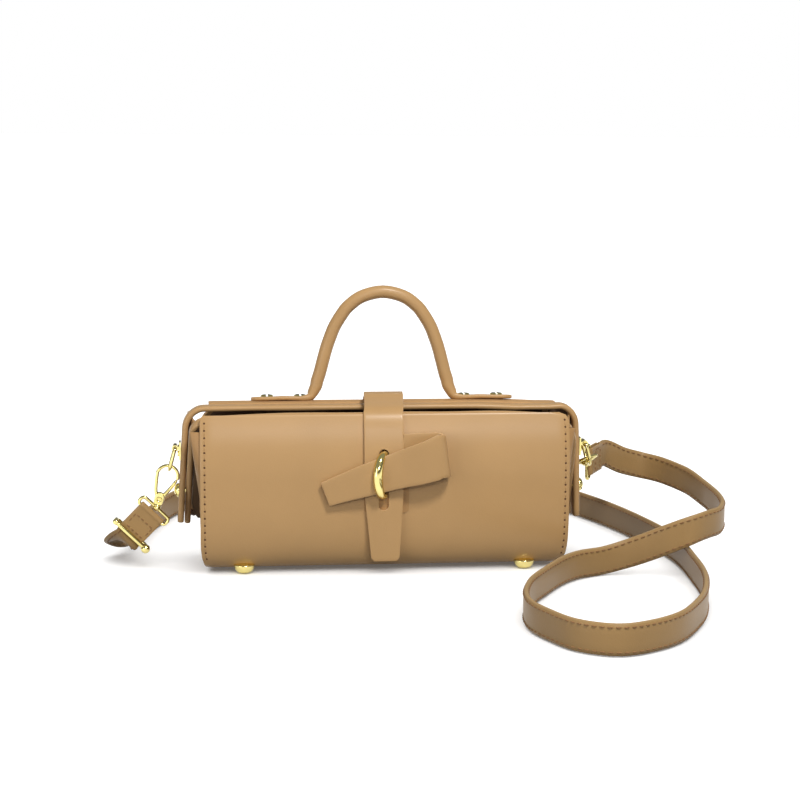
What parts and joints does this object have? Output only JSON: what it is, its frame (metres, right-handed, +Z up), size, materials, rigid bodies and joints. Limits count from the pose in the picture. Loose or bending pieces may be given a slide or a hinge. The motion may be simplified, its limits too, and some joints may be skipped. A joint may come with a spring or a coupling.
{
  "type": "barrel bag",
  "caption": "Small barrel-shaped leather bag with a rolled top handle, a strap closure through a ring, and a detachable flat shoulder strap on trigger hooks.",
  "frame": {"origin": "on the floor, under the middle of the bag's box without its shoulder strap", "axes": "+X to the right along the bag, +Y from the front to the rear, +Z up"},
  "size_m": [0.3737, 0.427, 0.1664],
  "materials": {
    "leather_tan": "smooth tan leather, satin",
    "leather_end": "supple tan leather, satin",
    "leather_strap": "flat strap leather with painted edges",
    "gold": "polished gold plate",
    "steel": "plain",
    "board": "pressed board",
    "core": "cotton cord",
    "lining": "woven lining"
  },
  "bodies": {
    "bag": {"wrap": "leather_tan", "front_fold": "leather_tan", "base_board": "board", "lining": "lining", "end_left": "leather_end", "end_right": "leather_end", "gusset_left": "leather_end", "gusset_right": "leather_end", "outer_frame": "leather_tan", "outer_bar": "steel", "pivot_rivets": "gold", "top_plate": "leather_tan", "top_board": "board", "handle": "leather_tan", "handle_core": "core", "handle_screws": "gold", "feet": "gold", "foot_washers": "steel", "closure_base": "leather_tan", "lug_left": "gold", "lug_right": "gold", "hook_left": "gold", "hook_right": "gold", "gate_pin_left": "gold", "gate_pin_right": "gold", "eye_left": "gold", "eye_right": "gold", "strap_end_left": "leather_strap", "strap_end_right": "leather_strap", "slider": "gold", "shoulder_strap": "leather_strap"},
    "front": {"inner_frame": "leather_tan", "inner_bar": "steel", "front_panel": "leather_tan", "front_board": "board", "ring": "gold", "tongue_root": "leather_tan"},
    "closure_flap": {"closure_strap": "leather_tan"},
    "tongue": {"tongue": "leather_tan"},
    "dring_left": {"dring_left": "gold"},
    "dring_right": {"dring_right": "gold"},
    "gate_left": {"gate_left": "gold"},
    "gate_right": {"gate_right": "gold"}
  },
  "joints": [
    {"name": "front_open", "type": "hinge", "parent": "bag", "child": "front", "pos_m": [0, 0.006, 0.0455], "axis": [1, 0, 0], "range_deg": [0, 20], "deforming": ["front_fold", "gusset_left", "gusset_right"]},
    {"name": "closure_lift", "type": "hinge", "parent": "bag", "child": "closure_flap", "pos_m": [0, 0.0085, 0.1017], "axis": [-1, 0, 0], "range_deg": [0, 120], "deforming": ["closure_strap"]},
    {"name": "tongue_swing", "type": "hinge", "parent": "front", "child": "tongue", "pos_m": [0.034, -0.0302, 0.071], "axis": [0, 0, 1], "range_deg": [0, 150], "deforming": ["tongue"]},
    {"name": "dring_left_swing", "type": "hinge", "parent": "bag", "child": "dring_left", "pos_m": [-0.1234, 0.006, 0.0713], "axis": [0, 1, 0], "range_deg": [-5, 5]},
    {"name": "dring_right_swing", "type": "hinge", "parent": "bag", "child": "dring_right", "pos_m": [0.1234, 0.006, 0.0713], "axis": [0, 1, 0], "range_deg": [-5, 1.5]},
    {"name": "gate_left_open", "type": "hinge", "parent": "bag", "child": "gate_left", "pos_m": [-0.13131, 0.006, 0.04137], "axis": [0, -1, 0], "range_deg": [0, 20], "stiffness_Nm_per_rad": 0.004},
    {"name": "gate_right_open", "type": "hinge", "parent": "bag", "child": "gate_right", "pos_m": [0.13092, 0.02731, 0.05603], "axis": [0.3079, -0.332, -0.8916], "range_deg": [0, 20], "stiffness_Nm_per_rad": 0.004}
  ],
  "couplings": [
    {"joint": "closure_lift", "follows": "front_open", "ratio": 6},
    {"joint": "tongue_swing", "follows": "front_open", "ratio": 7.5}
  ]
}
